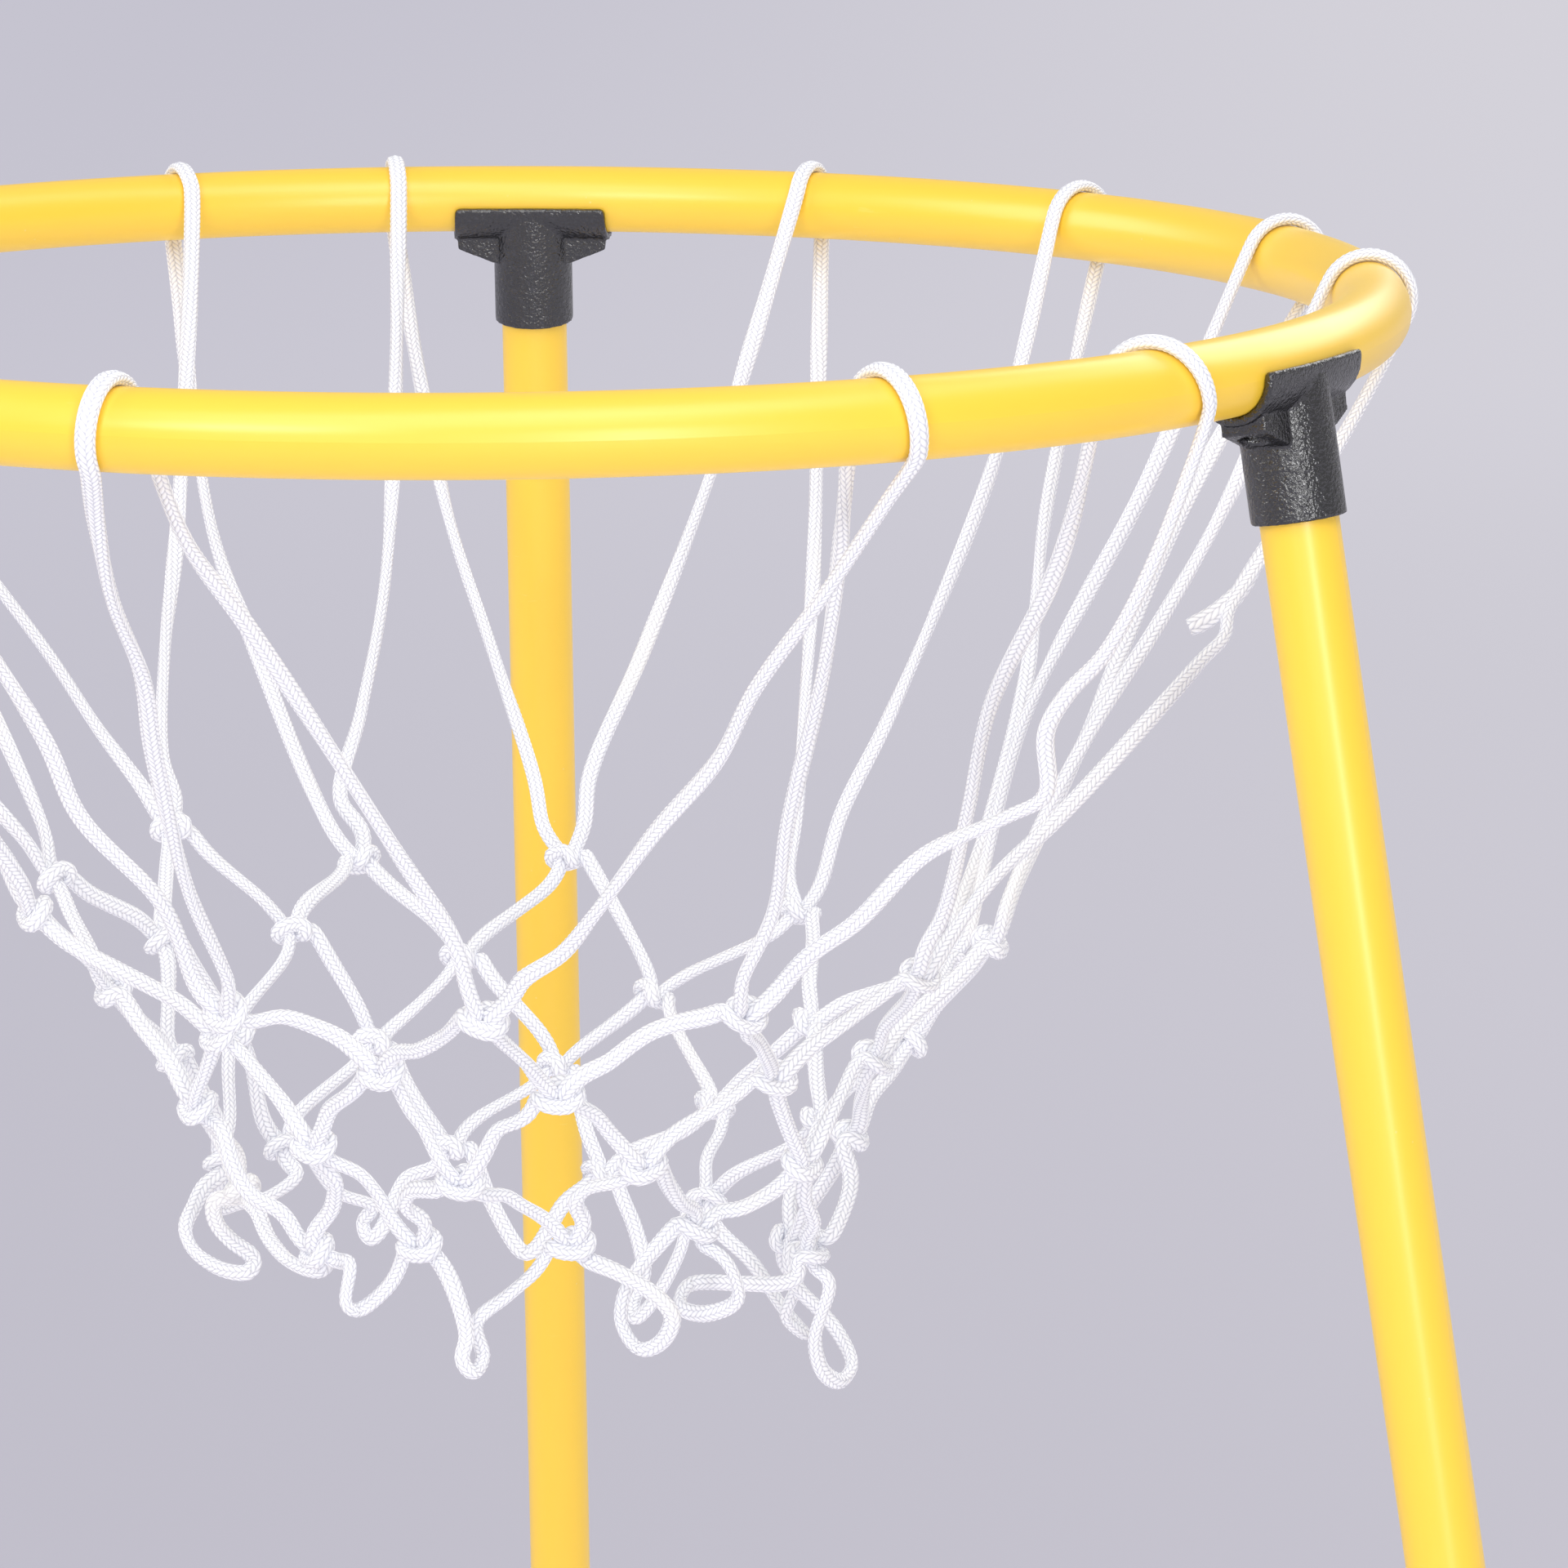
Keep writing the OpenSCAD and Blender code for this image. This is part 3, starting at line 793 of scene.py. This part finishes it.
def nearPairs(points, reach, apart):
    tree = KDTree(len(points))
    for i, p in enumerate(points):
        tree.insert(p, i)
    tree.balance()
    first, second = [], []
    count = len(points)
    for i, p in enumerate(points):
        for _, j, _ in tree.find_range(p, reach):
            if j > i and min(j - i, count - j + i) > apart:
                first.append(i)
                second.append(j)
    return np.array(first), np.array(second)


def knotNearness(points):
    # which knot is nearest to each point, how far it is, and 1 in a knot falling to 0 away from it
    centres = np.array([p for row in knotRows for p in row], float)
    gaps = np.linalg.norm(points[:, None, :] - centres[None, :, :], axis=2)
    distance = gaps.min(1)
    return gaps.argmin(1), distance, np.clip((net["knotReach"] - distance) / net["knotFade"], 0, 1)


def relaxCord(points, steps):
    # pulls every knot tight: the cord shortens near a knot, and cords that touch push apart
    centres = np.array([p for row in knotRows for p in row], float)
    nearest, distance, tight = knotNearness(points)
    across = np.hypot(points[:, 0], points[:, 1]) - ringRadius * 1000
    offTube = np.hypot(across, points[:, 2]) - net["overHoop"]
    free = (np.abs(offTube) > net["onTube"])[:, None].astype(float)
    for step in range(steps):
        if step % net["searchEvery"] == 0:
            first, second = nearPairs(points, net["looseGap"] * net["searchReach"], net["nearAlong"])
        pull = 0.5 * (np.roll(points, 1, 0) + np.roll(points, -1, 0)) - points
        points = points + net["pull"] * tight[:, None] * pull * free
        for _ in range(net["pushRounds"]):
            offset = points[first] - points[second]
            length = np.linalg.norm(offset, axis=1)
            inKnot = np.minimum(tight[first], tight[second])
            want = net["looseGap"] + (net["knotGap"] - net["looseGap"]) * inKnot
            short = np.clip(want - length, 0, None)
            push = offset / np.maximum(length, 0.2)[:, None] * short[:, None] * 0.5
            moved = np.zeros_like(points)
            hits = np.full(len(points), 1e-9)
            np.add.at(moved, first, push)
            np.add.at(moved, second, -push)
            np.add.at(hits, first, short > 0)
            np.add.at(hits, second, short > 0)
            points = points + moved / np.maximum(hits, 1)[:, None] * free
        for k in range(len(centres)):
            mine = (nearest == k) & (distance < net["driftReach"])
            drift = points[mine].mean(0) - centres[k]
            points[mine] -= net["driftPull"] * drift * (np.linalg.norm(drift) > net["driftAllowed"])
    return points


def buildCentreline():
    path, cuts = [], []
    for loop in range(loopCount):
        bottom = [np.array(p, float) for p in bottomLoops[loop]]
        middle = len(bottom) // 2
        path += bottom[:middle]
        cuts.append(bottom[middle])
        path += bottom[middle:]
        path += strandDown(loop, "outer")[::-1]
        path += hoopWrap(loop)
        path += strandDown(loop, "inner")
    return path, cuts


rawPath, cutPoints = buildCentreline()
cordLine = smoothPath(rawPath, net["sampleStep"])
laidOut = len(cordLine) * net["sampleStep"] / 1000
print("cord laid out:", round(laidOut, 2), "m before the knots are pulled tight")
cordLine = relaxCord(cordLine, net["relaxSteps"])
cordLine = smoothPath(cordLine[::2], net["ringStep"])
for _ in range(net["smoothRounds"]):
    cordLine = 0.25 * np.roll(cordLine, 1, 0) + 0.5 * cordLine + 0.25 * np.roll(cordLine, -1, 0)
cordLine = np.roll(cordLine, -int(np.linalg.norm(cordLine - cutPoints[0], axis=1).argmin()), axis=0)
cordLength = len(cordLine) * net["ringStep"] / 1000
cordLine = np.vstack([cordLine, cordLine[:1]])      # the first ring again, to close the cord
print("knots pulled tight: cord is", round(cordLength, 2), "m")


def carryFrames(line):
    # directions across the cord, carried along it without twist
    tangents = np.roll(line, -1, 0) - np.roll(line, 1, 0)
    tangents[0] = tangents[-1] = line[1] - line[-2]
    tangents /= np.linalg.norm(tangents, axis=1)[:, None]
    across = np.zeros_like(line)
    current = unit(np.cross(tangents[0], net["startAcross"]))
    for i, t in enumerate(tangents):
        current = current - np.dot(current, t) * t
        current = current / math.sqrt(np.dot(current, current))
        across[i] = current
    return across, np.cross(tangents, across)


def layFlat(line, across, other):
    # angle of the cord's flat side: along the hoop's tube where it crosses it, wandering elsewhere
    wanted = [(0, unit(net["startFacing"]))]
    for loop in range(loopCount):
        azimuth = sum(loopAzimuths[loop]) / 2
        index = int(np.linalg.norm(line - onHoop(azimuth, net["flatTurn"]), axis=1).argmin())
        a = math.radians(azimuth)
        wanted.append((index, np.array((-math.sin(a), math.cos(a), 0))))
    wanted.append((len(line) - 1, wanted[0][1]))
    places, angles = [], []
    for index, direction in wanted:
        angle = math.atan2(np.dot(direction, other[index]), np.dot(direction, across[index]))
        if angles:
            angle += math.pi * round((angles[-1] - angle) / math.pi)
        places.append(index)
        angles.append(angle)
    along = np.arange(len(line))
    flat = np.interp(along, places, angles)
    away = np.abs(along[:, None] - np.array(places)[None, :]).min(1) * net["ringStep"]
    wander = sum(turn * np.sin(along * net["ringStep"] / length + shift)
                 for turn, length, shift in net["wander"])
    return flat + wander * np.clip((away - net["straightReach"]) / net["wanderFade"], 0, 1)


def sweepCord(rings, start, frames, flat, halfSizes, ends=0.0):
    # skin round a stretch of the cord: its vertices, faces and (round, along) map
    sides = 2 * braidPattern["columns"]
    count = len(rings)
    across, other = frames
    column = np.arange(sides)[None, :] // 2
    angle = np.arange(sides)[None, :] * (2 * math.pi / sides) + 0 * flat[:, None]
    along = (start + np.arange(count))[:, None] * net["ringStep"]
    bulge = np.cos(2 * math.pi * (along / cordFinish["pitch"] + 0.5 + 0.5 * (column % 2)))
    bulge = np.where(np.arange(sides)[None, :] % 2 == 0, bulge, net["stitchValley"])
    stretch = 1 + net["stitchDepth"] / net["stitchOn"] * (net["stitchShare"] * bulge)
    taper = 1 - ends * np.clip(1 - np.minimum(np.arange(count), count - 1 - np.arange(count)) / 2, 0, 1)
    wide = (halfSizes[:, 0] * taper)[:, None] * np.cos(angle) * stretch
    thin = (halfSizes[:, 1] * taper)[:, None] * np.sin(angle) * stretch
    c, s = np.cos(flat)[:, None], np.sin(flat)[:, None]
    verts = (rings[:, None, :] + (wide * c - thin * s)[..., None] * across[:, None, :]
             + (wide * s + thin * c)[..., None] * other[:, None, :])
    k = np.arange(sides)
    base = np.arange(count - 1)[:, None] * sides
    after = (k + 1) % sides
    quads = np.stack([base + k, base + after, base + sides + after, base + sides + k], -1)
    ring = np.arange(count - 1)[:, None] + 0 * k[None, :]
    uv = np.zeros((count - 1, sides, 4, 2))
    for corner, (du, dv) in enumerate(((0, 0), (1, 0), (1, 1), (0, 1))):
        uv[:, :, corner, 0] = (k[None, :] + du) / sides
        uv[:, :, corner, 1] = (start + ring + dv) * net["ringStep"]
    caps = [tuple(range(sides - 1, -1, -1)), tuple(range((count - 1) * sides, count * sides))]
    quads = [tuple(q) for q in quads.reshape(-1, 4).tolist()]
    return verts.reshape(-1, 3), quads, caps, uv.reshape(-1, 2)


def makeCordPiece(name, skins):
    verts, faces, uvs = [], [], []
    for points, quads, caps, uv in skins:
        shift = sum(len(v) for v in verts)
        verts.append(points / 1000 + np.array((0, 0, hoopHeight)))
        faces += [tuple(i + shift for i in face) for face in quads + caps]
        uvs += [uv, np.zeros((sum(len(cap) for cap in caps), 2))]
    mesh = bpy.data.meshes.new(name)
    mesh.from_pydata(np.vstack(verts).tolist(), [], faces)
    layer = mesh.uv_layers.new(name="cordMap")
    layer.data.foreach_set("uv", np.vstack(uvs).ravel())
    mesh.polygons.foreach_set("use_smooth", np.ones(len(mesh.polygons), bool))
    mesh.materials.append(materials["net_cord"])
    mesh.update()
    piece = bpy.data.objects.new(name, mesh)
    bpy.context.scene.collection.objects.link(piece)
    return piece


def spliceStub():
    # the blunt end of the cord, which stands out of the splice on one long leg
    count = net["stubRings"]
    t = np.linspace(0, 1, count)[:, None]
    first, bend, last = (np.array(p, float) for p in net["stub"])
    line = (1 - t) ** 2 * first + 2 * t * (1 - t) * bend + t ** 2 * last
    heading = np.gradient(line, axis=0)
    side = np.cross(heading, net["stubFaces"])
    side /= np.linalg.norm(side, axis=1)[:, None]
    normal = np.cross(heading, side)
    normal /= np.linalg.norm(normal, axis=1)[:, None]
    thinnest, growth = net["stubSwell"]
    swell = thinnest + growth * np.clip(t * 2, 0, 1)
    halfSizes = np.array([[net["wide"], net["thin"]]]) * swell
    return sweepCord(line, 0, (side, normal), np.zeros(count), halfSizes, net["stubTaper"])


across, other = carryFrames(cordLine)
flatAngle = layFlat(cordLine, across, other)
inKnot = knotNearness(cordLine)[2][:, None]
breath = np.sin(np.arange(len(cordLine)) / net["breathingRings"])[:, None]
breathing = 1 + net["breathing"] * breath
looseWide = np.interp(cordLine[:, 2], net["pressedBetween"], (net["wide"], net["hoopWide"]))
looseSizes = np.stack([looseWide, np.full(len(cordLine), net["thin"])], 1)
halfSizes = ((1 - inKnot) * looseSizes
             + inKnot * np.array([[net["knotWide"], net["knotThin"]]])) * breathing
cuts = [int(np.linalg.norm(cordLine - p, axis=1).argmin()) for p in cutPoints] + [len(cordLine) - 1]
cuts[0] = 0
for loop in range(loopCount):
    begin, stop = cuts[loop], cuts[loop + 1]
    part = np.arange(begin, stop + 1)
    frames = (across[part], other[part])
    skins = [sweepCord(cordLine[part], begin, frames, flatAngle[part], halfSizes[part])]
    if loop == net["stubLoop"]:
        skins.append(spliceStub())
    piece = makeCordPiece("netCord" + str(loop + 1), skins)
    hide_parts("net_cord_" + str(loop + 1))
    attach(piece, "frame")
print("net swept:", loopCount, "pieces")


# Floor, light and camera

studio = {
    # painted light: the floor's tint is painted lighter from floorLeft towards floorRight, along +X
    "floorLeft": (0.685, 0.671, 0.767, 1),
    "floorRight": (0.805, 0.789, 0.857, 1),
    # painted shade: a darker floor tint round the object
    "floorNearShade": (0.30, 0.285, 0.345, 1),
    "nearShadeShare": 0.456,     # how much of the painted shade shows round the object
    "nearFrom": 0.4,        # distances between which it fades out
    "nearReach": 5.0,
    "leftEnd": -1.3,        # where the floor's two tints are reached
    "rightEnd": 1.5,
    "wall": (0.665, 0.652, 0.708, 1),
    "bounceColour": (0.92, 0.89, 0.94, 1),
    "room": (1.0, 0.985, 0.99, 1),
    "floorRadius": 30.0,
    "floorGlow": 0.70,      # share of the floor that is lit evenly
    "worldStrength": 0.40,
}


def makeFloor():
    mesh = bpy.data.meshes.new("floor")
    count = 64
    rim = [(studio["floorRadius"] * math.cos(2 * math.pi * i / count),
            studio["floorRadius"] * math.sin(2 * math.pi * i / count), 0) for i in range(count)]
    mesh.from_pydata(rim, [], [tuple(range(count))])
    floor = bpy.data.objects.new("floor", mesh)
    bpy.context.scene.collection.objects.link(floor)
    material, tree, shader = newMaterial("floorPaper", {"Roughness": 0.9, "Specular IOR Level": 0.1})
    seen = addNode(tree, "ShaderNodeLightPath")
    direct = calc(tree, "MAXIMUM", seen.outputs["Is Camera Ray"], seen.outputs["Is Glossy Ray"])
    spot = addNode(tree, "ShaderNodeSeparateXYZ")
    tree.links.new(objectPoint(tree), spot.inputs[0])
    # painted light: the tint is painted lighter towards +X
    side = remap(tree, spot.outputs["X"], studio["leftEnd"], studio["rightEnd"])
    tint = mixColour(tree, side, studio["floorLeft"], studio["floorRight"])
    # painted shade: the floor is painted darker round the object, fading out with distance
    away = calc(tree, "SQRT", calc(tree, "MULTIPLY_ADD", spot.outputs["X"], spot.outputs["X"],
                                   calc(tree, "MULTIPLY", spot.outputs["Y"], spot.outputs["Y"])))
    near = remap(tree, away, studio["nearFrom"], studio["nearReach"], studio["nearShadeShare"], 0.0)
    tint = mixColour(tree, near, tint, studio["floorNearShade"])
    plug(tree, mixColour(tree, direct, studio["bounceColour"], tint), shader.inputs["Base Color"])
    glow = addNode(tree, "ShaderNodeEmission")
    plug(tree, tint, glow.inputs["Color"])
    blend = addNode(tree, "ShaderNodeMixShader")
    plug(tree, calc(tree, "MULTIPLY", direct, studio["floorGlow"]), blend.inputs["Fac"])
    tree.links.new(shader.outputs[0], blend.inputs[1])
    tree.links.new(glow.outputs[0], blend.inputs[2])
    output = next(n for n in tree.nodes if n.type == "OUTPUT_MATERIAL")
    tree.links.new(blend.outputs[0], output.inputs["Surface"])
    mesh.materials.append(material)


def makeWorld():
    world = bpy.data.worlds.new("studioRoom")
    world.use_nodes = True
    tree = world.node_tree
    background = tree.nodes["Background"]
    seen = addNode(tree, "ShaderNodeLightPath")
    direct = seen.outputs["Is Camera Ray"]
    plug(tree, mixColour(tree, direct, studio["room"], studio["wall"]), background.inputs["Color"])
    strength = studio["worldStrength"]
    plug(tree, calc(tree, "MULTIPLY_ADD", direct, 1 - strength, strength), background.inputs["Strength"])
    bpy.context.scene.world = world


def makeSoftbox(name, azimuth, elevation, distance, width, height, radiance):
    # radiance 1 is a white surface in full light
    lamp = bpy.data.lights.new(name, "AREA")
    lamp.shape = "RECTANGLE"
    lamp.size, lamp.size_y = width, height
    lamp.energy = radiance * math.pi * width * height
    box = bpy.data.objects.new(name, lamp)
    bpy.context.scene.collection.objects.link(box)
    a, e = math.radians(azimuth), math.radians(elevation)
    toward = Vector((math.cos(a) * math.cos(e), math.sin(a) * math.cos(e), math.sin(e)))
    box.location = Vector((0, 0, hoopHeight)) + toward * distance
    box.rotation_mode = "QUATERNION"
    box.rotation_quaternion = toward.to_track_quat("Z", "Y")


softboxes = [
    # name, azimuth, elevation, distance, width, height, radiance
    ("lowFront", -90, 2, 2.6, 2.4, 0.9, 0.7),
    ("stripFront", -68, 4, 2.3, 0.36, 1.1, 8.5),
    ("topFront", -90, 47, 2.4, 2.6, 1.4, 1.75),
    ("keyLeft", -112, 22, 2.3, 0.8, 0.50, 8.0),
    ("keyFront", -50, 61, 2.3, 1.2, 1.0, 2.0),
    ("keyRight", 12, 58, 2.3, 1.2, 0.7, 1.0),
    ("overhead", -60, 80, 2.4, 2.2, 2.2, 0.2),
    ("fillLeft", 175, 25, 2.6, 2.0, 1.6, 2.6),
    ("backRight", 50, 30, 2.6, 2.0, 1.4, 2.7),
]

makeFloor()
makeWorld()
for softbox in softboxes:
    makeSoftbox(*softbox)

view = {
    "place": (0.1178, -1.5667, 0.9117),
    "aim": (0.0834, -0.0177, 0.5780),
    "lens": 135.0,
    "sensor": 36.0,
    "farthest": 200.0,
}
camera = bpy.data.objects.new("camera", bpy.data.cameras.new("camera"))
camera.data.lens = view["lens"]
camera.data.sensor_width = view["sensor"]
camera.data.clip_end = view["farthest"]
camera.location = view["place"]
camera.rotation_mode = "QUATERNION"
camera.rotation_quaternion = (Vector(view["aim"]) - Vector(view["place"])).to_track_quat("-Z", "Y")
bpy.context.scene.collection.objects.link(camera)
bpy.context.scene.camera = camera
bpy.context.scene.view_settings.view_transform = "Standard"
print("floor, light and camera set")
